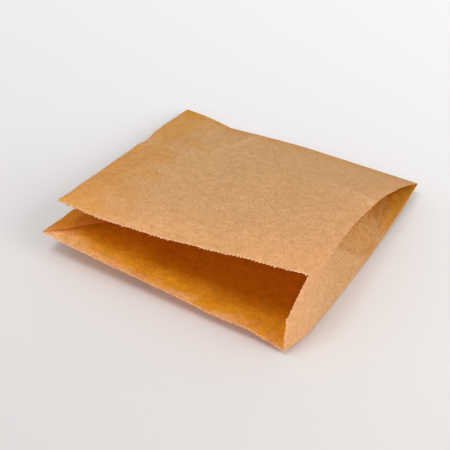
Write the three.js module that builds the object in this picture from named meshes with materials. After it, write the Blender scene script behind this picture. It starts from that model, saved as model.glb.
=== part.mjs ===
// A kraft paper sandwich bag that lies on a table with its mouth standing open.
// It is one sheet: a tube with a gusset folded into each side, a glued lap along its underside,
// a bottom end turned under and glued, and a mouth cut with fine teeth.
// Millimetres, +Z up, table at Z = 0, with the middle of the bag's footprint at the origin.
// The mouth faces -Y and X runs across it.
import * as THREE from "three";
import { mergeVertices } from "three/addons/utils/BufferGeometryUtils.js";

// The sheet and how it is folded and cut
const paperThickness = 0.1;
const foldRadius = 0.15; // at a fold, to the middle of the paper
const faceWidth = 175; // top and bottom face, between their side folds
const bagLength = 170; // from the bottom fold to the mouth, along the lower sheet
const gussetHalf = 27; // each half of a side gusset
const flapLength = 28; // bottom end turned under the bag
const seamFromLeft = 62; // the glued lap along the lower sheet
const seamLap = 12;
const topSetBack = 4; // how much shorter the top sheet is cut
const gussetReach = 5.5; // how far the right gusset's middle fold runs past the lower sheet's cut
const gussetDrawBack = 30; // how far the left gusset's middle fold stays behind it
const toothPitch = 2.5;
const toothDepth = 0.8;

// How the bag lies: heights are to the middle of the folded layers, angles are in degrees.
// A value from the back fold to the mouth is given at each end, with its bow in between.
const leftSide = {
  sign: -1,
  lowerHeight: { back: 5, mouth: 19, bow: -5 },
  lowerInset: { back: 0, mouth: 0.5, bow: -0.5 },
  mouthPinch: 0,
  gussetOpen: { back: 0, mouth: 28.3, bow: 3 },
  leanAtMouth: 19.5,
  leanBow: 3,
};
const rightSide = {
  sign: 1,
  lowerHeight: { back: 10.5, mouth: 4, bow: -6.5 },
  lowerInset: { back: 0, mouth: 2.5, bow: -1 },
  mouthPinch: 3.5, // drawn in this much more over the last of its length
  gussetOpen: { back: 0, mouth: 88, bow: 9.8 },
  leanAtMouth: 7,
  leanBow: -3,
};
const topDip = 4.5; // the top sheet's middle hangs below its folds at the mouth
const topDipToLeft = 1.5;
const lowerSag = 8; // the lower sheet hangs down to the table between its folds
const lipLift = 1;
const lipLiftToRight = 1;
const lipWave = 1.3; // the lip dips at one place and stands up beside it
const lipWaveDip = 0.64; // shares of the face's width from the left
const lipWaveRise = 0.86;
const lipWaveWidth = 0.07;
const pinchFrom = 0.86; // share of the length where the pinch of the mouth begins
const kinkFromLeft = 35; // dent in the bottom fold
const kinkDepth = 4;
const kinkSpread = 60;
const kinkReach = 60;
const settleLength = 12; // the lower sheet comes down to the table past the flap
const settleSoftness = 1;

// How finely the sheet is divided
const faceStep = 15;
const rowStep = 15;
const gussetSteps = 4;
const foldSteps = 3;
const closedDepth = 2; // the layers are pressed together this far in from the bottom fold
const toothBand = 2.5;
const lapEdge = 0.1; // the lap's cut edges slope over this width
const noseSteps = 6;
const lengthSteps = 400;

const layerGap = 2 * foldRadius;
const stackThickness = 3 * layerGap + paperThickness;
const flapThickness = stackThickness;
const toRadians = Math.PI / 180;

// The span of a value from the back fold (t = 0) to the mouth (t = 1)
function along(value, t) {
  return value.back + (value.mouth - value.back) * t + 4 * value.bow * t * (1 - t);
}

// Lifts a height off a floor, exactly onto it where it would be well below
function restOn(height, floor) {
  const above = height - floor;
  if (above >= settleSoftness) return height;
  if (above <= -settleSoftness) return floor;
  return floor + (above + settleSoftness) ** 2 / (4 * settleSoftness);
}

const backRise = rightSide.lowerHeight.back - leftSide.lowerHeight.back;
const backLean = -Math.atan2(backRise, faceWidth);

// The three folds of one side at t, as centres of their fold radius in the X-Z plane
function sideFolds(side, t) {
  const pinched = side.mouthPinch * (Math.max(0, t - pinchFrom) / (1 - pinchFrom)) ** 1.5;
  const low = new THREE.Vector2(
    side.sign * (faceWidth / 2 - along(side.lowerInset, t) - pinched),
    restOn(along(side.lowerHeight, t) - layerGap * (1 - t), foldRadius + paperThickness / 2),
  );
  const open = along(side.gussetOpen, t) * toRadians;
  const gap = 2 * gussetHalf * Math.sin(open) + 2 * layerGap * Math.cos(open);
  const lean =
    backLean * (1 - t) + (side.leanAtMouth * t + 4 * side.leanBow * t * (1 - t)) * toRadians;
  const up = new THREE.Vector2(Math.sin(lean), Math.cos(lean));
  const inward = new THREE.Vector2(-side.sign * up.y, side.sign * up.x);
  const tuck = Math.sqrt(Math.max(0, gussetHalf ** 2 - (gap / 2) ** 2));
  const high = low.clone().addScaledVector(up, gap);
  const middle = low.clone().addScaledVector(up, gap / 2).addScaledVector(inward, tuck);
  return { low, middle, high };
}

// How far forward a fold has come at t, so that it keeps the length of the paper
function forwardRun(side, name) {
  const run = [0];
  const stretch = 1.1;
  let before = sideFolds(side, 0)[name];
  for (let i = 1; i <= lengthSteps; i++) {
    const now = sideFolds(side, (stretch * i) / lengthSteps)[name];
    const step = (stretch * bagLength) / lengthSteps;
    run.push(run[i - 1] + Math.sqrt(Math.max(0, step ** 2 - before.distanceToSquared(now))));
    before = now;
  }
  return (t) => {
    const place = Math.min((t / stretch) * lengthSteps, lengthSteps - 1e-6);
    const i = Math.floor(place);
    return run[i] + (run[i + 1] - run[i]) * (place - i);
  };
}

const topPanel = 0;
const lowerPanel = 3;

// The six folds in order round the tube, clockwise as seen from the mouth. Panel i leaves fold i.
const foldLines = [
  { side: leftSide, name: "high", turn: 1 },
  { side: rightSide, name: "high", turn: 1 },
  { side: rightSide, name: "middle", turn: -1 },
  { side: rightSide, name: "low", turn: 1 },
  { side: leftSide, name: "low", turn: 1 },
  { side: leftSide, name: "middle", turn: -1 },
];
for (const line of foldLines) line.forward = forwardRun(line.side, line.name);

// Where the cut runs at each fold, measured along the sheet from the bottom fold
const cutAtFold = [
  bagLength - topSetBack,
  bagLength - topSetBack,
  bagLength + gussetReach,
  bagLength,
  bagLength,
  bagLength - gussetDrawBack,
];

// The folds at t with the straight runs of paper that leave them, like a belt round six pulleys
function beltAt(t) {
  const folds = foldLines.map((line) => ({
    centre: sideFolds(line.side, t)[line.name],
    y: -line.forward(t),
    turn: line.turn,
  }));
  folds.forEach((fold, i) => {
    const next = folds[(i + 1) % folds.length];
    const way = next.centre.clone().sub(fold.centre);
    const cross = Math.asin(((next.turn - fold.turn) * foldRadius) / way.length());
    fold.angle = way.angle() + cross;
  });
  return folds;
}

function leftOf(angle) {
  return new THREE.Vector2(-Math.sin(angle), Math.cos(angle));
}

// The bow of a face away from the straight line between its folds, s from left to right
function faceBow(isTop, s, t) {
  const hump = 4 * s * (1 - s);
  const twist = 10.4 * s * (1 - s) * (1 - 2 * s);
  if (isTop) return -(topDip * hump + topDipToLeft * twist) * t;
  const bumpAt = (place) => Math.exp(-(((s - place) / lipWaveWidth) ** 2));
  const wave = lipWave * (bumpAt(lipWaveRise) - bumpAt(lipWaveDip));
  const lip = (lipLift * hump - lipLiftToRight * twist + wave) * t ** 6;
  return -lowerSag * hump * 4 * t * (1 - t) + lip;
}

function kinkDrop(x, t) {
  const fromLeft = x + faceWidth / 2;
  const fade = Math.max(0, 1 - (t * bagLength) / kinkReach) ** 2;
  const near =
    fromLeft < kinkFromLeft
      ? Math.max(0, fromLeft / kinkFromLeft) ** 2
      : Math.max(0, 1 - (fromLeft - kinkFromLeft) / kinkSpread) ** 1.3;
  return kinkDepth * near * fade;
}

function floorUnder(t) {
  const past = (t * bagLength - flapLength) / settleLength;
  return paperThickness / 2 + flapThickness * (1 - THREE.MathUtils.smoothstep(past, 0, 1));
}

function settled(x, y, z, t) {
  return new THREE.Vector3(x, y, z - kinkDrop(x, t));
}

// A point of the paper's middle surface on the run that leaves fold i, at share s of it
function panelPoint(i, s, t) {
  const folds = beltAt(t);
  const from = folds[i];
  const to = folds[(i + 1) % folds.length];
  const normal = leftOf(from.angle);
  const a = from.centre.clone().addScaledVector(normal, from.turn * foldRadius);
  const b = to.centre.clone().addScaledVector(normal, to.turn * foldRadius);
  const p = a.lerp(b, s);
  const y = from.y + (to.y - from.y) * s;
  const point = settled(p.x, y, p.y, t);
  if (i === topPanel) point.z += faceBow(true, s, t);
  if (i === lowerPanel) point.z = restOn(point.z + faceBow(false, 1 - s, t), floorUnder(t));
  return point;
}

// A point on the paper's bend round fold i, at share s of the bend
function bendPoint(i, s, t) {
  const folds = beltAt(t);
  const fold = folds[i];
  const before = folds[(i + folds.length - 1) % folds.length].angle;
  const full = 2 * Math.PI;
  let bend = (((fold.turn * (before - fold.angle)) % full) + full) % full;
  if (bend > 1.5 * Math.PI) bend -= full;
  const normal = leftOf(before - fold.turn * bend * s);
  const p = fold.centre.clone().addScaledVector(normal, fold.turn * foldRadius);
  return settled(p.x, fold.y, p.y, t);
}

// Shares of a face's width from left to right, with one at each stop and enough between them
function sharesThrough(stops) {
  const shares = [];
  for (let i = 0; i + 1 < stops.length; i++) {
    const count = Math.ceil((stops[i + 1] - stops[i]) / faceStep);
    for (let j = 0; j < count; j++) {
      shares.push((stops[i] + ((stops[i + 1] - stops[i]) * j) / count) / faceWidth);
    }
  }
  return [...shares, 1];
}
const lapFrom = seamFromLeft + lapEdge;
const lapTo = seamFromLeft + seamLap - lapEdge;
const lapStops = [seamFromLeft, lapFrom, lapTo, seamFromLeft + seamLap];
const faceShares = sharesThrough([0, kinkFromLeft, ...lapStops, faceWidth]);

function isInLap(share) {
  const fromLeft = share * faceWidth;
  return fromLeft > lapFrom - lapEdge / 2 && fromLeft < lapTo + lapEdge / 2;
}

// Every column of the sheet, in order round the tube: where it lies at t, where its cut runs, how
// wide the paper is up to the next column, its panel and how many thicknesses lie further in
function sheetColumns() {
  const columns = [];
  const gussetShares = Array.from({ length: gussetSteps + 1 }, (_, j) => j / gussetSteps);
  const backShares = faceShares.map((s) => 1 - s).reverse();
  const shares = [faceShares, gussetShares, gussetShares, backShares, gussetShares, gussetShares];
  foldLines.forEach((line, i) => {
    const cutAfter = cutAtFold[(i + 1) % foldLines.length];
    for (let j = 0; j < foldSteps; j++) {
      const s = j / foldSteps;
      const at = (t) => bendPoint(i, s, t);
      columns.push({ at, cut: cutAtFold[i], width: 0, panel: -1, extra: 0 });
    }
    const panelWidth = shares[i] === gussetShares ? gussetHalf : faceWidth;
    for (let j = 0; j + 1 < shares[i].length; j++) {
      const s = shares[i][j];
      columns.push({
        at: (t) => panelPoint(i, s, t),
        cut: cutAtFold[i] + (cutAfter - cutAtFold[i]) * s,
        width: (shares[i][j + 1] - s) * panelWidth,
        panel: i,
        extra: i === lowerPanel && isInLap(1 - s) ? 1 : 0,
      });
    }
  });
  return columns;
}
const columns = sheetColumns();

// The columns of a face in the belt's order, with the one where it ends
function columnsOf(panel) {
  const found = [...columns.keys()].filter((k) => columns[k].panel === panel);
  return [...found, found[found.length - 1] + 1];
}
const topColumns = columnsOf(topPanel);
const lowerColumns = columnsOf(lowerPanel).reverse(); // from left to right, as the top's are

// Rows from the bottom fold to just short of the teeth, as shares of each column's cut length
function sheetRows() {
  const rows = [0, closedDepth, flapLength / 2, flapLength, flapLength + lapEdge];
  rows.push(flapLength + settleLength);
  const last = bagLength - toothBand;
  const start = rows[rows.length - 1];
  const count = Math.ceil((last - start) / rowStep);
  for (let j = 1; j <= count; j++) rows.push(start + ((last - start) * j) / count);
  return rows.map((row) => row / bagLength);
}
const rows = sheetRows();

// Where column k lies at t, with the direction out of the bag
function sheetAt(k, t) {
  const step = 1e-4;
  const count = columns.length;
  const point = columns[k].at(t);
  const across = columns[(k + 1) % count].at(t).sub(columns[(k + count - 1) % count].at(t));
  const forward = columns[k].at(t + step).sub(columns[k].at(Math.max(0, t - step)));
  return { point, normal: forward.cross(across).normalize() };
}

// A point this far out of the bag (or into it, below zero) from the paper's middle surface
function offSheet(k, t, distance) {
  const at = sheetAt(k, t);
  return at.point.addScaledVector(at.normal, distance);
}

// A closed body put together from triangles
class Body {
  positions = [];
  add(a, b, c) {
    for (const p of [a, b, c]) this.positions.push(p.x, p.y, p.z);
  }
  quad(a, b, c, d) {
    this.add(a, b, c);
    this.add(a, c, d);
  }
  toGeometry() {
    const geometry = new THREE.BufferGeometry();
    geometry.setAttribute("position", new THREE.Float32BufferAttribute(this.positions, 3));
    return mergeVertices(geometry, 1e-4);
  }
}

// Fills a flat ring with triangles that face outward; flatten gives its points in two dimensions
function fillRing(body, ring, flatten, outward) {
  const outline = ring.map(flatten);
  for (const [a, b, c] of THREE.ShapeUtils.triangulateShape(outline, [])) {
    const [p, q, r] = [ring[a], ring[b], ring[c]];
    const normal = q.clone().sub(p).cross(r.clone().sub(p));
    if (normal.dot(outward) > 0) body.add(p, q, r);
    else body.add(p, r, q);
  }
}
const fromTheFront = (p) => new THREE.Vector2(p.x, p.z);
const toFront = new THREE.Vector3(0, -1, 0);
const toBack = new THREE.Vector3(0, 1, 0);

// One skin of the tube, half a paper's thickness out (1) or in (-1), from a row to its toothed cut.
// The inner skin lies deeper by one thickness over the glued lap.
function skin(body, side, firstRow) {
  const place = (k, t) => {
    const lap = side < 0 ? columns[k].extra * paperThickness : 0;
    const hasFlap = side > 0 && lowerColumns.includes(k) && t * bagLength < flapLength + lapEdge / 2;
    return offSheet(k, t, side * (paperThickness / 2 + lap + (hasFlap ? flapThickness : 0)));
  };
  const face = (a, b, c) => (side > 0 ? body.add(a, b, c) : body.add(a, c, b));
  const ringAt = (row) =>
    columns.map((column, k) => place(k, (row * column.cut) / bagLength));
  const rings = rows.slice(firstRow).map(ringAt);
  for (let j = 0; j + 1 < rings.length; j++) {
    for (let k = 0; k < columns.length; k++) {
      const next = (k + 1) % columns.length;
      face(rings[j][k], rings[j + 1][k], rings[j + 1][next]);
      face(rings[j][k], rings[j + 1][next], rings[j][next]);
    }
  }
  const last = rings[rings.length - 1];
  const edge = [];
  for (let k = 0; k < columns.length; k++) {
    const next = (k + 1) % columns.length;
    const count = Math.max(1, 2 * Math.round(columns[k].width / toothPitch));
    const points = [];
    for (let m = 0; m <= count; m++) {
      const s = m / count;
      const cut = columns[k].cut + (columns[next].cut - columns[k].cut) * s;
      const isTip = m % 2 === 1 && count > 1;
      const t = (cut - (isTip ? 0 : toothDepth)) / bagLength;
      points.push(place(k, t).lerp(place(next, t), s));
    }
    const half = Math.floor(count / 2);
    for (let m = 0; m < count; m++) {
      face(m < half ? last[k] : last[next], points[m], points[m + 1]);
    }
    face(last[k], points[half], last[next]);
    edge.push(...points.slice(0, count));
  }
  return { back: rings[0], edge };
}

// One end of the nose, from column first to column last of the back ring: the end of the nose
// itself, the round of the two folds beside it and the pocket between the gusset's halves
function closeSide(body, ring, bend, first, last, sign) {
  const at = (k) => ring[k % ring.length];
  const high = sign > 0 ? first + foldSteps : last - foldSteps;
  const low = sign > 0 ? last - foldSteps : first + foldSteps;
  const outline = [...bend, at(low), at(high)];
  const hub = noseSteps / 2;
  for (let i = 1; i + 1 < outline.length; i++) {
    const [b, c] = [(hub + i) % outline.length, (hub + i + 1) % outline.length];
    if (sign < 0) body.add(outline[hub], outline[b], outline[c]);
    else body.add(outline[hub], outline[c], outline[b]);
  }
  const between = (from, to) => Array.from({ length: to - from + 1 }, (_, i) => at(from + i));
  fillRing(body, between(first, first + foldSteps), fromTheFront, toBack);
  fillRing(body, between(last - foldSteps, last), fromTheFront, toBack);
  fillRing(body, between(first + foldSteps, last - foldSteps), fromTheFront, toFront);
}

// The back of the bag: the pressed layers turn down into the flap in a round nose
function closeBack(body, ring) {
  const bends = topColumns.map((k, i) => {
    const top = ring[k];
    const bottom = ring[lowerColumns[i]];
    const radius = (top.z - bottom.z) / 2;
    const bend = [top];
    for (let j = 1; j < noseSteps; j++) {
      const angle = Math.PI * (0.5 - j / noseSteps);
      const point = top.clone().lerp(bottom, (1 - Math.sin(angle)) / 2);
      point.y += radius * Math.cos(angle);
      bend.push(point);
    }
    return [...bend, bottom];
  });
  for (let i = 0; i + 1 < bends.length; i++) {
    for (let j = 0; j < noseSteps; j++) {
      body.quad(bends[i][j], bends[i + 1][j], bends[i + 1][j + 1], bends[i][j + 1]);
    }
  }
  const last = bends.length - 1;
  closeSide(body, ring, bends[0], lowerColumns[0], topColumns[0] + ring.length, -1);
  closeSide(body, ring, bends[last], topColumns[last], lowerColumns[last], 1);
}

function makeBody() {
  const body = new Body();
  const outside = skin(body, 1, 0);
  const inside = skin(body, -1, 1);
  closeBack(body, outside.back);
  fillRing(body, inside.back, fromTheFront, toFront);
  for (let m = 0; m < outside.edge.length; m++) {
    const next = (m + 1) % outside.edge.length;
    body.quad(outside.edge[m], inside.edge[m], inside.edge[next], outside.edge[next]);
  }
  return body.toGeometry();
}

const kraftPaper = new THREE.MeshStandardMaterial({
  color: 0xcb9c6e,
  roughness: 0.85,
  metalness: 0,
});

function makeBag() {
  const bag = new THREE.Mesh(makeBody(), kraftPaper);
  bag.name = "paper_bag";
  bag.geometry.computeBoundingBox();
  const { min, max } = bag.geometry.boundingBox;
  bag.position.set(-(min.x + max.x) / 2, -(min.y + max.y) / 2, 0);
  return bag;
}

const model = new THREE.Group();
model.add(makeBag());

export default model;
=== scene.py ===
import math
import bpy
import numpy as np
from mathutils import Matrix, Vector


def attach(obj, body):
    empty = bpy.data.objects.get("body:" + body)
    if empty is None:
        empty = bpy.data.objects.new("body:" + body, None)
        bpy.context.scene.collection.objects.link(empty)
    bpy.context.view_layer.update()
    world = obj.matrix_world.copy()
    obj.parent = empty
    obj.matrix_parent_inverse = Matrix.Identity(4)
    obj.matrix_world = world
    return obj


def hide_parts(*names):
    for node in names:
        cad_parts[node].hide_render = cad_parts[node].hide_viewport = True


# A kraft paper sandwich bag lying on a pale floor, made from one flat sheet that is folded in code.
# Sizes in the dictionaries are millimetres and degrees unless a note says otherwise.

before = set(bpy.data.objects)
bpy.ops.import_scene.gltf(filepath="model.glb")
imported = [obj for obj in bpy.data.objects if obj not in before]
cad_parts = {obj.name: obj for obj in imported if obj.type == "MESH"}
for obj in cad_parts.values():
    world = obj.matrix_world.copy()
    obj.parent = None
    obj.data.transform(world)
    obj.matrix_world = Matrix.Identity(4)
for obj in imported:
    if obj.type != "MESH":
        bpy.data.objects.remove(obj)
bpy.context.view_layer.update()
mm = 0.001

# The sheet as it is cut and folded
bagCut = {
    "thickness": 0.1,
    "foldRadius": 0.15,
    "layerGap": 0.3,
    "faceWidth": 175,
    "length": 170,
    "gussetHalf": 27,
    "flapLength": 28,
    "flapGap": 0.2,
    "seamFromLeft": 62,
    "seamLap": 12,
    "topSetBack": 4,
    "gussetReach": 5.5,
    "gussetDrawBack": 30,
    "toothPitch": 2.5,
    "toothDepth": 0.8,
    "toothRise": (0.8, 2.3),  # times the depth
    "toothWander": 0.25,
    "toothSeed": 11,
    "lapLift": 1.15,  # times the thickness
    "lapEase": 6,
}

# How the bag lies. Each value runs from the bottom fold to the mouth: back, mouth, bow between.
bagPose = {
    "left": {"sign": -1, "height": (5, 19, -5), "inset": (0, 0.5, -0.5), "open": (0, 28.3, 3),
             "pinch": 0, "lean": (19.5, 3)},
    "right": {"sign": 1, "height": (10.5, 4, -6.5), "inset": (0, 2.5, -1), "open": (0, 88, 9.8),
              "pinch": 3.5, "lean": (7, -3)},
    "topDip": 4.5,
    "topDipToLeft": 1.5,
    "lowerSag": 8,
    "lipLift": 1,
    "lipLiftToRight": 1,
    "lipWave": 1.3,
    "lipWaveDip": 0.64,
    "lipWaveRise": 0.86,
    "lipWaveWidth": 0.07,
    "lipCurve": 6,
    "pinchFrom": 0.86,
    "pinchCurve": 1.5,
    "kinkFromLeft": 35,
    "kinkDepth": 4,
    "kinkSpread": 60,
    "kinkReach": 60,
    "kinkCurve": 1.3,
    "settleLength": 12,
    "settleSoftness": 1,
    "flapDepth": 1.1,
    "shift": (-1.07, 85.29),
}

# How finely the sheet is divided
bagMesh = {
    "foldSteps": 6,
    "toothSteps": 2,
    "rowStep": 2.2,
    "flapRows": 10,
    "flapStart": 0.4,
    "noseRows": 7,
    "mouthStrip": 4,
    "mouthRows": (2.4, 1.2),
    "stationsTo": 1.1,
    "stationCount": 441,
}

length = bagCut["length"]
halfFace = bagCut["faceWidth"] / 2
radius = bagCut["foldRadius"]
gap = bagCut["layerGap"]


def along(value, t):
    back, mouth, bow = value
    return back + (mouth - back) * t + 4 * bow * t * (1 - t)


def smooth(x):
    x = np.clip(x, 0, 1)
    return x * x * (3 - 2 * x)


def restOn(height, floor):
    soft = bagPose["settleSoftness"]
    above = height - floor
    eased = floor + (above + soft) ** 2 / (4 * soft)
    return np.where(above >= soft, height, np.where(above <= -soft, floor, eased))


backLean = -math.atan2(bagPose["right"]["height"][0] - bagPose["left"]["height"][0], 2 * halfFace)


def sideFolds(side, t):
    # The three folds of one side, as x and z of the middle of their bend
    sign = side["sign"]
    pinchFrom = bagPose["pinchFrom"]
    pinched = side["pinch"] * (np.maximum(0, t - pinchFrom) / (1 - pinchFrom)) ** bagPose["pinchCurve"]
    lowX = sign * (halfFace - along(side["inset"], t) - pinched)
    lowZ = restOn(along(side["height"], t) - gap * (1 - t), radius + bagCut["thickness"] / 2)
    opened = np.radians(along(side["open"], t))
    spread = 2 * bagCut["gussetHalf"] * np.sin(opened) + 2 * gap * np.cos(opened)
    leanMouth, leanBow = side["lean"]
    lean = backLean * (1 - t) + np.radians(leanMouth * t + 4 * leanBow * t * (1 - t))
    upX, upZ = np.sin(lean), np.cos(lean)
    tuck = np.sqrt(np.maximum(0, bagCut["gussetHalf"] ** 2 - (spread / 2) ** 2))
    return {
        "low": (lowX, lowZ),
        "high": (lowX + upX * spread, lowZ + upZ * spread),
        "middle": (lowX + upX * spread / 2 - sign * upZ * tuck,
                   lowZ + upZ * spread / 2 + sign * upX * tuck),
    }


# The six folds round the tube, clockwise from the mouth. Run i of the paper leaves fold i.
foldLines = [("left", "high", 1), ("right", "high", 1), ("right", "middle", -1),
             ("right", "low", 1), ("left", "low", 1), ("left", "middle", -1)]
topRun, lowerRun = 0, 3
cutAtFold = [length - bagCut["topSetBack"], length - bagCut["topSetBack"],
             length + bagCut["gussetReach"], length, length, length - bagCut["gussetDrawBack"]]

# How far forward each fold has come at t, so that it keeps the length of the paper
runStations = np.linspace(0, bagMesh["stationsTo"], bagMesh["stationCount"])
forwardRuns = []
for sideName, foldName, turn in foldLines:
    foldX, foldZ = sideFolds(bagPose[sideName], runStations)[foldName]
    paperStep = np.diff(runStations) * length
    forwardStep = np.sqrt(np.maximum(0, paperStep ** 2 - np.diff(foldX) ** 2 - np.diff(foldZ) ** 2))
    forwardRuns.append(np.concatenate([[0], np.cumsum(forwardStep)]))


def beltAt(t):
    sides = {name: sideFolds(bagPose[name], t) for name in ("left", "right")}
    centres = [sides[side][fold] for side, fold, turn in foldLines]
    forward = [-np.interp(t, runStations, run) for run in forwardRuns]
    angles = []
    for i, (side, fold, turn) in enumerate(foldLines):
        after = (i + 1) % len(foldLines)
        wayX = centres[after][0] - centres[i][0]
        wayZ = centres[after][1] - centres[i][1]
        cross = np.arcsin((foldLines[after][2] - turn) * radius / np.hypot(wayX, wayZ))
        angles.append(np.arctan2(wayZ, wayX) + cross)
    return centres, forward, angles


def kinkDrop(x, t):
    fromLeft = x + halfFace
    fade = np.maximum(0, 1 - t * length / bagPose["kinkReach"]) ** 2
    leftPart = np.maximum(0, fromLeft / bagPose["kinkFromLeft"]) ** 2
    pastKink = (fromLeft - bagPose["kinkFromLeft"]) / bagPose["kinkSpread"]
    rightPart = np.maximum(0, 1 - pastKink) ** bagPose["kinkCurve"]
    near = np.where(fromLeft < bagPose["kinkFromLeft"], leftPart, rightPart)
    return bagPose["kinkDepth"] * near * fade


def faceBow(isTop, s, t):
    hump = 4 * s * (1 - s)
    twist = 10.4 * s * (1 - s) * (1 - 2 * s)  # peaks near 1
    if isTop:
        return -(bagPose["topDip"] * hump + bagPose["topDipToLeft"] * twist) * t
    rise, dip = (np.exp(-((s - bagPose[place]) / bagPose["lipWaveWidth"]) ** 2)
                 for place in ("lipWaveRise", "lipWaveDip"))
    wave = bagPose["lipWave"] * (rise - dip)
    lip = (bagPose["lipLift"] * hump - bagPose["lipLiftToRight"] * twist + wave) * t ** bagPose["lipCurve"]
    return -bagPose["lowerSag"] * hump * 4 * t * (1 - t) + lip


def floorUnder(t):
    past = (t * length - bagCut["flapLength"]) / bagPose["settleLength"]
    return bagCut["thickness"] / 2 + bagPose["flapDepth"] * (1 - smooth(past))


def runPoint(i, s, t):
    # The paper on the run that leaves fold i, at share s of it
    centres, forward, angles = beltAt(t)
    after = (i + 1) % len(foldLines)
    normalX, normalZ = -np.sin(angles[i]), np.cos(angles[i])
    fromTurn, toTurn = foldLines[i][2] * radius, foldLines[after][2] * radius
    x = (centres[i][0] + normalX * fromTurn) * (1 - s) + (centres[after][0] + normalX * toTurn) * s
    z = (centres[i][1] + normalZ * fromTurn) * (1 - s) + (centres[after][1] + normalZ * toTurn) * s
    y = forward[i] * (1 - s) + forward[after] * s
    z = z - kinkDrop(x, t)
    if i == topRun:
        z = z + faceBow(True, s, t)
    if i == lowerRun:
        z = restOn(z + faceBow(False, 1 - s, t), floorUnder(t))
    return np.stack([x, y, z], -1)


def bendPoint(i, s, t):
    # The paper on its bend round fold i, at share s of the bend
    centres, forward, angles = beltAt(t)
    turn = foldLines[i][2]
    before = angles[i - 1]
    bend = np.mod(turn * (before - angles[i]), 2 * np.pi)
    bend = np.where(bend > 1.5 * np.pi, bend - 2 * np.pi, bend)
    angle = before - turn * bend * s
    x = centres[i][0] - np.sin(angle) * turn * radius
    z = centres[i][1] + np.cos(angle) * turn * radius
    return np.stack([x, forward[i], z - kinkDrop(x, t)], -1)


def sheetColumns():
    # Columns from one glued edge to the other: kind, index, share, flat place, cut, tooth
    columns = []
    flat = 0
    toothDraw = np.random.default_rng(bagCut["toothSeed"])
    wander = bagCut["toothWander"]
    faceWidth, halfGusset = bagCut["faceWidth"], bagCut["gussetHalf"]
    innerStart = 1 - (bagCut["seamFromLeft"] + bagCut["seamLap"]) / faceWidth
    outerEnd = 1 - bagCut["seamFromLeft"] / faceWidth
    step = bagCut["toothPitch"] / bagMesh["toothSteps"]

    def addRun(i, first, last, width):
        nonlocal flat
        cutFrom, cutTo = cutAtFold[i], cutAtFold[(i + 1) % len(foldLines)]
        count = max(2, 2 * round((last - first) * width / step / 2))
        for j in range(count + 1):
            s = first + (last - first) * j / count
            rise = toothDraw.uniform(*bagCut["toothRise"])
            tooth = (j % 2) * rise + toothDraw.uniform(-wander, wander)
            columns.append(("run", i, s, flat + (s - first) * width,
                            cutFrom + (cutTo - cutFrom) * s, tooth))
        flat += (last - first) * width

    def addBend(i):
        nonlocal flat
        arc = math.pi * radius
        for j in range(1, bagMesh["foldSteps"]):
            s = j / bagMesh["foldSteps"]
            columns.append(("bend", i, s, flat + arc * s, cutAtFold[i], 0))
        flat += arc

    addRun(lowerRun, innerStart, 1, faceWidth)
    for i in (4, 5, 0, 1, 2, 3):
        addBend(i)
        width = faceWidth if i in (topRun, lowerRun) else halfGusset
        addRun(i, 0, outerEnd if i == lowerRun else 1, width)
    return columns, flat


columns, flatWidth = sheetColumns()
print("sheet:", len(columns), "columns,", round(flatWidth, 1), "mm wide")


def pointAt(column, t):
    kind, index, share = column[:3]
    return runPoint(index, share, t) if kind == "run" else bendPoint(index, share, t)


class SoftNoise:
    # A smooth field over a plane, from waves of about one length in many directions
    def __init__(self, seed, waveLength, count=28, spread=(0.7, 1.5)):
        draw = np.random.default_rng(seed)
        direction = draw.uniform(0, 2 * np.pi, count)
        size = 2 * np.pi / (waveLength * draw.uniform(*spread, count))
        self.waves = list(zip(size * np.cos(direction), size * np.sin(direction),
                              draw.uniform(0, 2 * np.pi, count)))

    def at(self, u, v):
        total = sum(np.sin(a * u + b * v + phase) for a, b, phase in self.waves)
        return total / math.sqrt(len(self.waves) / 2)


def foldSheet():
    # The middle of the paper as rows of points, from the flap's cut to the mouth's
    depth, teeth = bagCut["thickness"] / 2, bagCut["toothDepth"]
    strip = bagMesh["mouthStrip"]
    count = round((length - strip) / bagMesh["rowStep"])
    nearMouth = [1 - place / length for place in bagMesh["mouthRows"]]
    stations = np.concatenate([np.linspace(0, 1 - strip / length, count), nearMouth, [1]])
    flapPlaces = np.linspace(bagCut["flapLength"], bagMesh["flapStart"], bagMesh["flapRows"])
    noseAngles = np.linspace(math.pi, 0, bagMesh["noseRows"] + 1)[:-1]
    rightEnd = pointAt(("run", lowerRun, 0), np.array([0.0]))[0]
    leftEnd = pointAt(("run", lowerRun, 1), np.array([0.0]))[0]
    points, flats = [], []
    for column in columns:
        flat, cut, tooth = column[3:]
        t = stations * cut / length
        t[-1] = (cut - teeth * (1 - tooth)) / length
        body = pointAt(column, t)
        start = body[0]
        share = (rightEnd[0] - start[0]) / (rightEnd[0] - leftEnd[0])
        places = flapPlaces.copy()
        places[0] -= teeth * (1 - tooth)
        under = runPoint(lowerRun, share, places / length)
        atFold = runPoint(lowerRun, share, np.array([0.0]))[0]
        high = start[2] - atFold[2]
        under[:, 2] -= bagCut["flapGap"] + high
        bend = high + bagCut["flapGap"] / 2
        nose = np.stack([
            np.full(len(noseAngles), start[0]),
            atFold[1] + bend * np.sin(noseAngles),
            atFold[2] - bagCut["flapGap"] / 2 + bend * np.cos(noseAngles),
        ], -1)
        points.append(np.concatenate([under, nose, body]))
        across = np.full(len(points[-1]), flat)
        down = np.concatenate([-places - math.pi * bend, -bend * noseAngles, t * length])
        flats.append(np.stack([across, down], -1))
    points = np.stack(points, 1)
    flats = np.stack(flats, 1)
    print("sheet:", points.shape[0], "rows; lowest point", round(points[..., 2].min() - depth, 2), "mm")
    return points, flats


def outwardNormals(points):
    down = np.gradient(points, axis=0)
    across = np.gradient(points, axis=1)
    normals = np.cross(down, across)
    return normals / np.linalg.norm(normals, axis=-1, keepdims=True)


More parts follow.
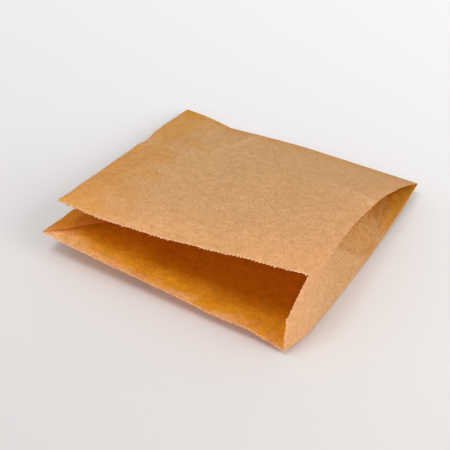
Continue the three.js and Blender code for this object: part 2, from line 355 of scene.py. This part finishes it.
# Soft waves, crumples and creases of handling. A place is across the top, then from the bottom fold.
bagWear = {
    "seeds": {"wave": 3, "crumple": 5, "patch": 8, "pocket": 21},
    "freeOver": 45,
    "floorClear": 0.6,
    "floorOver": 3,
    "patchLength": 45,
    "patchLevel": (0.5, 0.4),
    "crumpleLeast": 0.4,
    "sideEase": 9,
    "backEase": 12,
    "waveLength": 42,
    "waveHeight": 0.35,
    "crumpleLength": 13,
    "crumpleHeight": 0.07,
    "creases": [
        {"from": (177, 75), "to": (98, 46), "slope": 0.12, "soft": 1.2, "reach": 16},
        {"from": (60, 4), "to": (48, 60), "slope": 0.05, "soft": 0.8, "reach": 7},
    ],
    "creaseEase": (0.06, 0.6),  # share of its length over which a crease starts and ends
    "edgeDent": {"at": (0, 56), "size": (9, 8), "move": (1.1, 0, -0.7)},
    "pocketTip": (0, 0.15, 1),
    "pocketReach": (84, 114, 76),
    "pocketDepth": 3.4,
    "pocketEdge": 6,
    "pocketRidge": 0.9,
    "pocketCrumple": 1.5,
    "pocketCrumpleLength": 12,
    "pocketCrumpleSquash": 1.6,
    "pocketCrumpleLevel": 0.8,
    "pocketSkew": 0.7,
    "pocketLumpCurve": 0.4,
    "pocketRidgeOver": 0.5,
    "pocketOpenFrom": 10,
    "pocketOpenOver": 45,
    "pocketLumpOver": 25,
}
topStart = next(c[3] for c in columns if c[:3] == ("run", topRun, 0))


def creasePlace(crease, x, v):
    # How far off a crease a place is, and how strong the crease is beside it
    startX, startV = crease["from"]
    wayX, wayV = crease["to"][0] - startX, crease["to"][1] - startV
    reach = math.hypot(wayX, wayV)
    share = ((x - startX) * wayX + (v - startV) * wayV) / reach ** 2
    off = ((x - startX) * wayV - (v - startV) * wayX) / reach
    startEase, endEase = bagWear["creaseEase"]
    return off, smooth(share / startEase + 0.5) * smooth((1 - share) / endEase)


def creaseHeight(crease, x, v):
    # A low ridge that falls away on both sides
    off, fade = creasePlace(crease, x, v)
    ridge = crease["reach"] - np.sqrt(off ** 2 + crease["soft"] ** 2)
    return crease["slope"] * np.maximum(0, ridge) * fade * np.exp(-(off / crease["reach"]) ** 2)


def pocketShare(x, v):
    # Where the right gusset sinks in behind a crease that runs across it
    across = (x - bagCut["faceWidth"]) / (2 * bagCut["gussetHalf"])
    line = np.interp(across, bagWear["pocketTip"], bagWear["pocketReach"])
    hump = np.sin(np.pi * np.clip(across, 0, 1) ** bagWear["pocketSkew"])
    return (hump > 0) * smooth((line - v) / bagWear["pocketEdge"]), hump


def wearSheet(points, flats, normals):
    x, v = flats[..., 0] - topStart, flats[..., 1]
    width, halfGusset = bagCut["faceWidth"], bagCut["gussetHalf"]
    placeX, placeY = points[..., 0], points[..., 1]
    free = smooth(v / bagWear["freeOver"])
    nearFloor = smooth((points[..., 2] - bagWear["floorClear"]) / bagWear["floorOver"])
    seeds = bagWear["seeds"]
    wave = SoftNoise(seeds["wave"], bagWear["waveLength"]).at(placeX, placeY) * bagWear["waveHeight"]
    crumple = SoftNoise(seeds["crumple"], bagWear["crumpleLength"]).at(placeX, placeY)
    crumple = crumple * bagWear["crumpleHeight"]
    patchScale, patchShift = bagWear["patchLevel"]
    patches = SoftNoise(seeds["patch"], bagWear["patchLength"]).at(placeX, placeY)
    patches = smooth(patches * patchScale + patchShift)
    lift = (wave + crumple * (bagWear["crumpleLeast"] + patches)) * free * nearFloor

    sideEase = bagWear["sideEase"]
    onTop = smooth(x / sideEase) * smooth((width - x) / sideEase) * smooth(v / bagWear["backEase"])
    height = sum(creaseHeight(crease, x, v) for crease in bagWear["creases"]) * onTop
    moved = points + normals * height[..., None]

    # The right gusset's back part: sunk inwards, crumpled, with a ridge along its crease
    pocket, hump = pocketShare(x, v)
    folds = SoftNoise(seeds["pocket"], bagWear["pocketCrumpleLength"])
    folds = folds.at(x, v * bagWear["pocketCrumpleSquash"])
    folds = np.abs(folds) - bagWear["pocketCrumpleLevel"]
    opened = smooth((v - bagWear["pocketOpenFrom"]) / bagWear["pocketOpenOver"])
    sunk = pocket * hump * opened * bagWear["pocketDepth"]
    belowMiddle = smooth((x - width - 0.5 * halfGusset) / halfGusset)
    toFold = smooth((width + 2 * halfGusset - x) / sideEase)
    lump = pocket * hump ** bagWear["pocketLumpCurve"] * toFold * smooth(v / bagWear["pocketLumpOver"])
    lump = lump * bagWear["pocketCrumple"] * folds
    ridge = 4 * pocket * (1 - pocket) * smooth(hump / bagWear["pocketRidgeOver"])
    ridge = ridge * bagWear["pocketRidge"]
    moved[..., 0] += ridge - sunk + lump * (1 - belowMiddle) * opened
    moved[..., 2] += lift + lump * belowMiddle

    dent = bagWear["edgeDent"]
    (dentX, dentV), (dentWide, dentLong) = dent["at"], dent["size"]
    near = np.exp(-((x - dentX) / dentWide) ** 2 - ((v - dentV) / dentLong) ** 2)
    moved = moved + near[..., None] * np.array(dent["move"])
    moved[..., 2] = np.maximum(moved[..., 2], bagCut["thickness"] / 2)
    return moved


# Painted light and shade on the paper: deeper colour where shade falls over more layers, in the folds and
# deep inside, darker under the top sheet's edges, paler where light falls, and the pale frayed cut edges
# that are the paper's own
bagPaintedLightAndFray = {
    "seeds": {"patch": 15, "fleck": 33},
    "leftStrip": 52,
    "leftStripEdge": 48,
    "leftStripShare": 0.55,
    "backEdge": 0.3,
    "pocketShare": 0.45,
    "lipPale": 13,
    "lipPaleAtLeft": 24,
    "leftReach": 30,
    "gussetHighlight": 0.22,
    "dentHighlight": 0.35,
    "gloomFrom": 10,
    "gloomOver": 26,
    "wedgeShadowTo": 62,
    "frayWidth": 1.5,
    "creaseHighlight": 0.3,
    "creaseHighlightWidth": 2.2,
    "patchLength": 26,
    "fleckLength": 9,
    "stripPatch": 0.12,
    "backFrom": 16,
    "backOver": 14,
    "pocketFrom": 62,
    "pocketOver": 35,
    "pocketPatch": (0.75, 0.3),
    "tuckSlant": 0.5,
    "tuckLead": 4,
    "tuckOver": 14,
    "tuckFoldLead": 3,
    "tuckFoldOver": 2,
    "tuckShadow": 0.7,
    "lipShare": 0.15,
    "lipShareAtLeft": 0.3,
    "lipShareReach": 20,
    "lipPatch": 2,
    "wedgeOver": 40,
    "wedgeEdge": (1.03, 0.3),
    "gloomPatch": 3,
    "gussetLitFrom": 95,
    "gussetLitOver": 40,
    "gussetLitEdge": (0.02, 0.1),
    "dentHighlightShift": (4, 2),
    "dentHighlightSize": (6, 9),
}


def paintLightAndFray(points, flats, cuts):
    # Shares for each point: painted shade as deep colour outside and inside, painted shadow over both,
    # frayed fibres at the cuts and painted highlights
    tint = bagPaintedLightAndFray
    x, v = flats[..., 0] - topStart, flats[..., 1]
    width, halfGusset = bagCut["faceWidth"], bagCut["gussetHalf"]
    depth = cuts - v
    across = (x - width) / (2 * halfGusset)
    fromLeft = points[..., 0] + width / 2
    patches = SoftNoise(tint["seeds"]["patch"], tint["patchLength"]).at(x, v)
    flecks = SoftNoise(tint["seeds"]["fleck"], tint["fleckLength"]).at(x, v)
    onTop = (x > -1) & (x < width + 1) & (v > -1)

    # Painted shade: deeper orange over the left gusset's strip, at the back edge, in the right gusset's
    # pocket and on the left gusset's lower panel
    strip = smooth((tint["leftStrip"] - x) / tint["leftStripEdge"] + tint["stripPatch"] * patches) * onTop
    backEdge = smooth((tint["backFrom"] - v) / tint["backOver"]) * onTop * tint["backEdge"]
    pocket = pocketShare(x, v)[0]
    atBack = smooth((tint["pocketFrom"] - v) / tint["pocketOver"])
    atBack = tint["pocketShare"] + (1 - tint["pocketShare"]) * atBack
    patchLevel, patchScale = tint["pocketPatch"]
    pocket = pocket * np.clip(patchLevel + patchScale * patches, 0, 1) * atBack
    tuckPlace = x + 2 * halfGusset + tint["tuckSlant"] * depth + tint["tuckLead"]
    leftTuck = smooth(tuckPlace / tint["tuckOver"]) * (x < -1)
    leftTuck = leftTuck * smooth((x + 2 * halfGusset + tint["tuckFoldLead"]) / tint["tuckFoldOver"])
    outside = np.clip(strip * tint["leftStripShare"] + backEdge + pocket + leftTuck, 0, 1)

    # Painted light and shade inside: paler near the lip where light falls, deeper orange further in where
    # shade falls
    paleWidth = tint["lipPale"] + tint["lipPaleAtLeft"] * np.exp(-fromLeft / tint["leftReach"])
    lipShare = tint["lipShare"] - tint["lipShareAtLeft"] * np.exp(-fromLeft / tint["lipShareReach"])
    inside = smooth(lipShare + (depth + tint["lipPatch"] * patches + tint["lipPatch"] * flecks) / paleWidth)

    # Painted shadow: darker on the right gusset under the top fold, and on the left gusset's lower panel
    wedgeEnd, wedgeEdge = tint["wedgeEdge"]
    wedge = (across > 0) * (across < 1) * smooth((tint["wedgeShadowTo"] - v) / tint["wedgeOver"])
    wedge = wedge * smooth((wedgeEnd - across) / wedgeEdge)
    gloomOutside = np.clip(wedge + tint["tuckShadow"] * leftTuck, 0, 1)
    # Painted shadow: darker deep inside the bag, away from the mouth
    gloomInside = smooth((depth - tint["gloomFrom"] + tint["gloomPatch"] * patches) / tint["gloomOver"])

    # Pale frayed fibres along the cut edges are the paper's own colour
    offLeftGusset = (x > -3) | (x < -2 * halfGusset - 1)
    frayAndHighlight = smooth(1 - depth / tint["frayWidth"]) * offLeftGusset
    # Painted highlight: paler on the right gusset's front where light falls, and on the left edge beside
    # its dent
    gussetLitLead, gussetLitEdge = tint["gussetLitEdge"]
    gussetLit = smooth((v - tint["gussetLitFrom"]) / tint["gussetLitOver"])
    gussetLit = gussetLit * smooth((across + gussetLitLead) / gussetLitEdge) * (across < 1)
    dentV = bagWear["edgeDent"]["at"][1]
    (paleX, paleV), (paleWide, paleLong) = tint["dentHighlightShift"], tint["dentHighlightSize"]
    bright = np.exp(-((x - paleX) / paleWide) ** 2 - ((v - dentV - paleV) / paleLong) ** 2) * onTop
    frayAndHighlight = frayAndHighlight + tint["gussetHighlight"] * gussetLit + tint["dentHighlight"] * bright
    # Painted highlight along each crease
    for crease in bagWear["creases"]:
        off, fade = creasePlace(crease, x, v)
        near = np.exp(-(off / tint["creaseHighlightWidth"]) ** 2)
        frayAndHighlight = frayAndHighlight + tint["creaseHighlight"] * fade * near * onTop
    return {
        "deepOutside": outside,
        "deepInside": inside,
        "gloomOutside": gloomOutside,
        "gloomInside": gloomInside,
        "frayAndHighlight": np.clip(frayAndHighlight, 0, 1),
    }


points, flats = foldSheet()
normals = outwardNormals(points)
inLap = 1 - smooth((flats[..., 0] - bagCut["seamLap"]) / bagCut["lapEase"])
points = points - normals * (inLap * bagCut["thickness"] * bagCut["lapLift"])[..., None]
points = wearSheet(points, flats, normals)
tints = paintLightAndFray(points, flats, flats[-1, :, 1])


def layFlatSheet(points, flats, tints):
    rows, cols = points.shape[:2]
    bpy.ops.object.select_all(action="DESELECT")
    bpy.ops.mesh.primitive_grid_add(x_subdivisions=cols - 1, y_subdivisions=rows - 1, size=1)
    bag = bpy.context.active_object
    bag.name = "paperBag"
    mesh = bag.data
    places = np.zeros(len(mesh.vertices) * 3)
    mesh.vertices.foreach_get("co", places)
    places = places.reshape(-1, 3)
    col = np.rint((places[:, 0] + 0.5) * (cols - 1)).astype(int)
    row = np.rint((places[:, 1] + 0.5) * (rows - 1)).astype(int)
    folded = points[row, col] + np.array([*bagPose["shift"], 0])
    mesh.vertices.foreach_set("co", (folded * mm).ravel())
    corners = np.zeros(len(mesh.loops), int)
    mesh.loops.foreach_get("vertex_index", corners)
    flat = flats[row, col][corners]
    uv = mesh.uv_layers[0]
    uv.name = "flatSheet"
    uv.data.foreach_set("uv", (flat * mm).ravel())
    for name, share in tints.items():
        layer = mesh.attributes.new(name, "FLOAT", "POINT")
        layer.data.foreach_set("value", share[row, col])
    mesh.update()
    return bag


bag = layFlatSheet(points, flats, tints)
# The paper: ribbed unbleached kraft, with a plain colour and a deep colour of painted shade for each side
# and its cut
kraft = {
    "outside": {"plain": (0.77, 0.57, 0.27), "deep": (0.72, 0.40, 0.045), "side": "Outside",
                "gloss": 0.12, "clouds": 1.1, "fibres": 3.4},
    # The inside's plain colour is painted light on the lip; its deep colour is painted shade further in
    "inside": {"plain": (0.88, 0.64, 0.29), "deep": (0.88, 0.52, 0.035), "side": "Inside",
               "gloss": 0.05, "clouds": 2.4, "fibres": 5.0},
    "cut": {"plain": (0.95, 0.76, 0.48), "deep": (0.95, 0.76, 0.48), "side": "Inside",
            "gloss": 0.05, "clouds": 1.0, "fibres": 3.0},
    "gloomColor": (0.80, 0.68, 0.34),
    "frayAndHighlightColor": (1.0, 0.85, 0.60),
    "frayAndHighlightShare": 0.7,
    "through": (1.0, 0.54, 0.06, 1),
    "throughShare": 0.48,
    "roughness": 0.75,
    "ribPitch": 1.9,
    "ribHeight": 0.012,
    "ribShade": 0.28,
    "cloudScale": 190.0,
    "fibreScale": (1300, 780, 1),
    "fibreTurn": 0.35,
    "fibreHeight": 0.03,
    "dark": (0.74, 0.70, 0.58),
    "pale": (1.22, 1.27, 1.42),
}


def addNode(tree, kind, **values):
    node = tree.nodes.new(kind)
    for name, value in values.items():
        if hasattr(node, name):
            setattr(node, name, value)
        else:
            node.inputs[name].default_value = value
    return node


def makeFibreGroup():
    # Ribs along the bag, cloudy formation and short fibres, from the flat sheet's own map
    group = bpy.data.node_groups.new("kraftFibres", "ShaderNodeTree")
    for name, kind in (("Shade", "NodeSocketFloat"), ("Height", "NodeSocketFloat")):
        group.interface.new_socket(name, in_out="OUTPUT", socket_type=kind)
    for name in ("Rib shade", "Cloud shade", "Fibre shade"):
        group.interface.new_socket(name, in_out="INPUT", socket_type="NodeSocketFloat")
    links = group.links
    given = group.nodes.new("NodeGroupInput")
    result = group.nodes.new("NodeGroupOutput")
    place = addNode(group, "ShaderNodeUVMap", uv_map="flatSheet")
    ribScale = 2 * math.pi / (20 * kraft["ribPitch"] * mm)  # the wave's own scale has a factor of 20
    ribs = addNode(group, "ShaderNodeTexWave", wave_type="BANDS", bands_direction="X",
                   Scale=ribScale, Distortion=1.6, Detail=2.0)
    ribs.inputs["Detail Scale"].default_value = 0.6
    cloud = addNode(group, "ShaderNodeTexNoise", Scale=kraft["cloudScale"], Detail=4.0, Roughness=0.6)
    stretch = addNode(group, "ShaderNodeMapping")
    stretch.inputs["Scale"].default_value = kraft["fibreScale"]
    stretch.inputs["Rotation"].default_value = (0, 0, kraft["fibreTurn"])
    fibre = addNode(group, "ShaderNodeTexNoise", Scale=1.0, Detail=3.0, Roughness=0.6, Distortion=0.8)
    links.new(place.outputs[0], ribs.inputs["Vector"])
    links.new(place.outputs[0], cloud.inputs["Vector"])
    links.new(place.outputs[0], stretch.inputs["Vector"])
    links.new(stretch.outputs[0], fibre.inputs["Vector"])

    def combine(first, second, name):
        # first + (second - 0.5) * the group's input of that name
        centred = addNode(group, "ShaderNodeMath", operation="SUBTRACT")
        centred.inputs[1].default_value = 0.5
        scaled = addNode(group, "ShaderNodeMath", operation="MULTIPLY_ADD")
        links.new(second, centred.inputs[0])
        links.new(centred.outputs[0], scaled.inputs[0])
        links.new(given.outputs[name], scaled.inputs[1])
        if first is None:
            scaled.inputs[2].default_value = 0.5
        else:
            links.new(first, scaled.inputs[2])
        return scaled.outputs[0]

    shade = combine(None, ribs.outputs["Fac"], "Rib shade")
    shade = combine(shade, cloud.outputs["Fac"], "Cloud shade")
    shade = combine(shade, fibre.outputs["Fac"], "Fibre shade")
    height = addNode(group, "ShaderNodeMath", operation="MULTIPLY")
    height.inputs[1].default_value = kraft["ribHeight"] * mm
    total = addNode(group, "ShaderNodeMath", operation="MULTIPLY_ADD")
    total.inputs[1].default_value = kraft["fibreHeight"] * mm
    links.new(ribs.outputs["Fac"], height.inputs[0])
    links.new(fibre.outputs["Fac"], total.inputs[0])
    links.new(height.outputs[0], total.inputs[2])
    links.new(shade, result.inputs["Shade"])
    links.new(total.outputs[0], result.inputs["Height"])
    return group


fibres = makeFibreGroup()


def mixNode(tree, blend="MIX"):
    # A colour mix with its three inputs and its result
    node = addNode(tree, "ShaderNodeMix", data_type="RGBA", blend_type=blend)
    first, second = [socket for socket in node.inputs if socket.type == "RGBA"]
    result = [socket for socket in node.outputs if socket.type == "RGBA"][0]
    return node.inputs[0], first, second, result


def makeKraft(name, look):
    material = bpy.data.materials.new(name)
    material.use_nodes = True
    tree = material.node_tree
    links = tree.links
    tree.nodes.clear()
    out = tree.nodes.new("ShaderNodeOutputMaterial")
    mix = addNode(tree, "ShaderNodeMixShader", Fac=kraft["throughShare"])
    face = addNode(tree, "ShaderNodeBsdfPrincipled", Roughness=kraft["roughness"])
    face.inputs["Specular IOR Level"].default_value = look["gloss"]
    through = addNode(tree, "ShaderNodeBsdfTranslucent", Color=kraft["through"])
    texture = tree.nodes.new("ShaderNodeGroup")
    texture.node_tree = fibres
    texture.inputs["Rib shade"].default_value = kraft["ribShade"]
    texture.inputs["Cloud shade"].default_value = look["clouds"]
    texture.inputs["Fibre shade"].default_value = look["fibres"]
    # Painted shade tint, painted shadow, and the fray with painted highlights come from the sheet's
    # attributes
    depth = addNode(tree, "ShaderNodeAttribute", attribute_name="deep" + look["side"])
    gloom = addNode(tree, "ShaderNodeAttribute", attribute_name="gloom" + look["side"])
    frayAndHighlight = addNode(tree, "ShaderNodeAttribute", attribute_name="frayAndHighlight")
    toneShare, toneDark, tonePale, tone = mixNode(tree)
    toneDark.default_value = (*kraft["dark"], 1)
    tonePale.default_value = (*kraft["pale"], 1)
    paintedShadeTintShare, plain, deep, base = mixNode(tree)
    plain.default_value = (*look["plain"], 1)
    deep.default_value = (*look["deep"], 1)
    frayAndHighlightShare, beforePale, paleFibreAndHighlight, edged = mixNode(tree)
    paleFibreAndHighlight.default_value = (*kraft["frayAndHighlightColor"], 1)
    strength, under, over, shaded = mixNode(tree, "MULTIPLY")
    strength.default_value = 1.0
    paintedShadowShare, bright, paintedShadowTint, dimmed = mixNode(tree, "MULTIPLY")
    paintedShadowTint.default_value = (*kraft["gloomColor"], 1)
    frayAndHighlightAmount = addNode(tree, "ShaderNodeMath", operation="MULTIPLY")
    frayAndHighlightAmount.inputs[1].default_value = kraft["frayAndHighlightShare"]
    bump = addNode(tree, "ShaderNodeBump", Strength=1.0, Distance=1.0)
    links.new(texture.outputs["Shade"], toneShare)
    links.new(depth.outputs["Fac"], paintedShadeTintShare)
    links.new(frayAndHighlight.outputs["Fac"], frayAndHighlightAmount.inputs[0])
    links.new(frayAndHighlightAmount.outputs[0], frayAndHighlightShare)
    links.new(base, beforePale)
    links.new(gloom.outputs["Fac"], paintedShadowShare)
    links.new(edged, bright)
    links.new(dimmed, under)
    links.new(tone, over)
    links.new(shaded, face.inputs["Base Color"])
    links.new(texture.outputs["Height"], bump.inputs["Height"])
    links.new(bump.outputs[0], face.inputs["Normal"])
    links.new(face.outputs[0], mix.inputs[1])
    links.new(through.outputs[0], mix.inputs[2])
    links.new(mix.outputs[0], out.inputs["Surface"])
    return material


for name in ("inside", "outside", "cut"):
    bag.data.materials.append(makeKraft("kraft" + name.capitalize(), kraft[name]))

# The sheet gets its thickness: its own faces are the inside, the next slot is the outside, then the cut
thicken = bag.modifiers.new("paper", "SOLIDIFY")
thicken.thickness = bagCut["thickness"] * mm
thicken.offset = 0
thicken.material_offset = 1
thicken.material_offset_rim = 2
bpy.ops.object.modifier_apply(modifier=thicken.name)
bpy.ops.object.shade_smooth_by_angle(angle=math.radians(50))
print("bag:", len(bag.data.polygons), "faces")

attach(bag, "root")
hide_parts("paper_bag")
print("kraft paper done")

# The floor, in metres
stage = {
    "floorSize": 6,
    "floorHeight": -0.0001,
    "floorRoughness": 0.9,
    # nearColor and farColor are painted light: the floor is darker towards the front and lighter towards
    # the back
    "nearColor": (0.565, 0.55, 0.548, 1),
    "farColor": (0.87, 0.86, 0.865, 1),
    "fadeWay": (-0.2, 1.0, 0),
    "fadeSpan": (-0.30, 0.34),
    "worldColor": (1, 1, 1, 1),
    "worldStrength": 0.64,
}
bpy.ops.object.select_all(action="DESELECT")
bpy.ops.mesh.primitive_plane_add(size=stage["floorSize"], location=(0, 0, stage["floorHeight"]))
floor = bpy.context.active_object
floor.name = "floor"


def makeFloorWithPaintedLight():
    # Pale floor with painted light that grows lighter towards the back and darker towards the front
    material = bpy.data.materials.new("floorWithPaintedLight")
    material.use_nodes = True
    tree = material.node_tree
    face = tree.nodes["Principled BSDF"]
    face.inputs["Roughness"].default_value = stage["floorRoughness"]
    place = tree.nodes.new("ShaderNodeTexCoord")
    back = addNode(tree, "ShaderNodeVectorMath", operation="DOT_PRODUCT")
    back.inputs[1].default_value = stage["fadeWay"]
    span = tree.nodes.new("ShaderNodeMapRange")
    span.inputs["From Min"].default_value, span.inputs["From Max"].default_value = stage["fadeSpan"]
    share, near, far, color = mixNode(tree)
    near.default_value = stage["nearColor"]
    far.default_value = stage["farColor"]
    tree.links.new(place.outputs["Object"], back.inputs[0])
    tree.links.new(back.outputs["Value"], span.inputs["Value"])
    tree.links.new(span.outputs["Result"], share)
    tree.links.new(color, face.inputs["Base Color"])
    return material


floor.data.materials.append(makeFloorWithPaintedLight())

# The lamps, in metres and watts, each turned to the middle of the bag
lamps = {
    "key": {"at": (1.2, -0.15, 0.75), "size": 0.9, "power": 10, "color": (1, 0.99, 0.95)},
    "top": {"at": (-0.12, -0.66, 1.9), "size": 0.55, "power": 12, "color": (1, 1, 1)},
    "front": {"at": (-0.7, -1.2, 0.55), "size": 1.0, "power": 2.6, "color": (1, 1, 1)},
}
for name, lamp in lamps.items():
    data = bpy.data.lights.new(name, "AREA")
    data.energy = lamp["power"]
    data.size = lamp["size"]
    data.color = lamp["color"]
    light = bpy.data.objects.new(name, data)
    bpy.context.scene.collection.objects.link(light)
    light.location = lamp["at"]
    light.rotation_euler = Vector(lamp["at"]).to_track_quat("Z", "Y").to_euler()

world = bpy.data.worlds.new("room")
bpy.context.scene.world = world
world.use_nodes = True
world.node_tree.nodes["Background"].inputs[0].default_value = stage["worldColor"]
world.node_tree.nodes["Background"].inputs[1].default_value = stage["worldStrength"]

shot = {
    "aim": (-6.27, -2.19, 0),
    "turn": 30.5,
    "elevation": 41,
    "distance": 828.2,
    "lens": 104,
    "sensor": 36,
    "clipFrom": 10,
}
turn, rise = math.radians(shot["turn"]), math.radians(shot["elevation"])
toCamera = Vector((math.cos(rise) * math.sin(turn), -math.cos(rise) * math.cos(turn), math.sin(rise)))
cameraData = bpy.data.cameras.new("camera")
camera = bpy.data.objects.new("camera", cameraData)
bpy.context.scene.collection.objects.link(camera)
cameraData.lens = shot["lens"]
cameraData.sensor_width = shot["sensor"]
cameraData.clip_start = shot["clipFrom"] * mm
camera.location = (Vector(shot["aim"]) + toCamera * shot["distance"]) * mm
camera.rotation_euler = toCamera.to_track_quat("Z", "Y").to_euler()
bpy.context.scene.camera = camera
bpy.context.scene.view_settings.view_transform = "Standard"
print("stage, lamps and camera done")
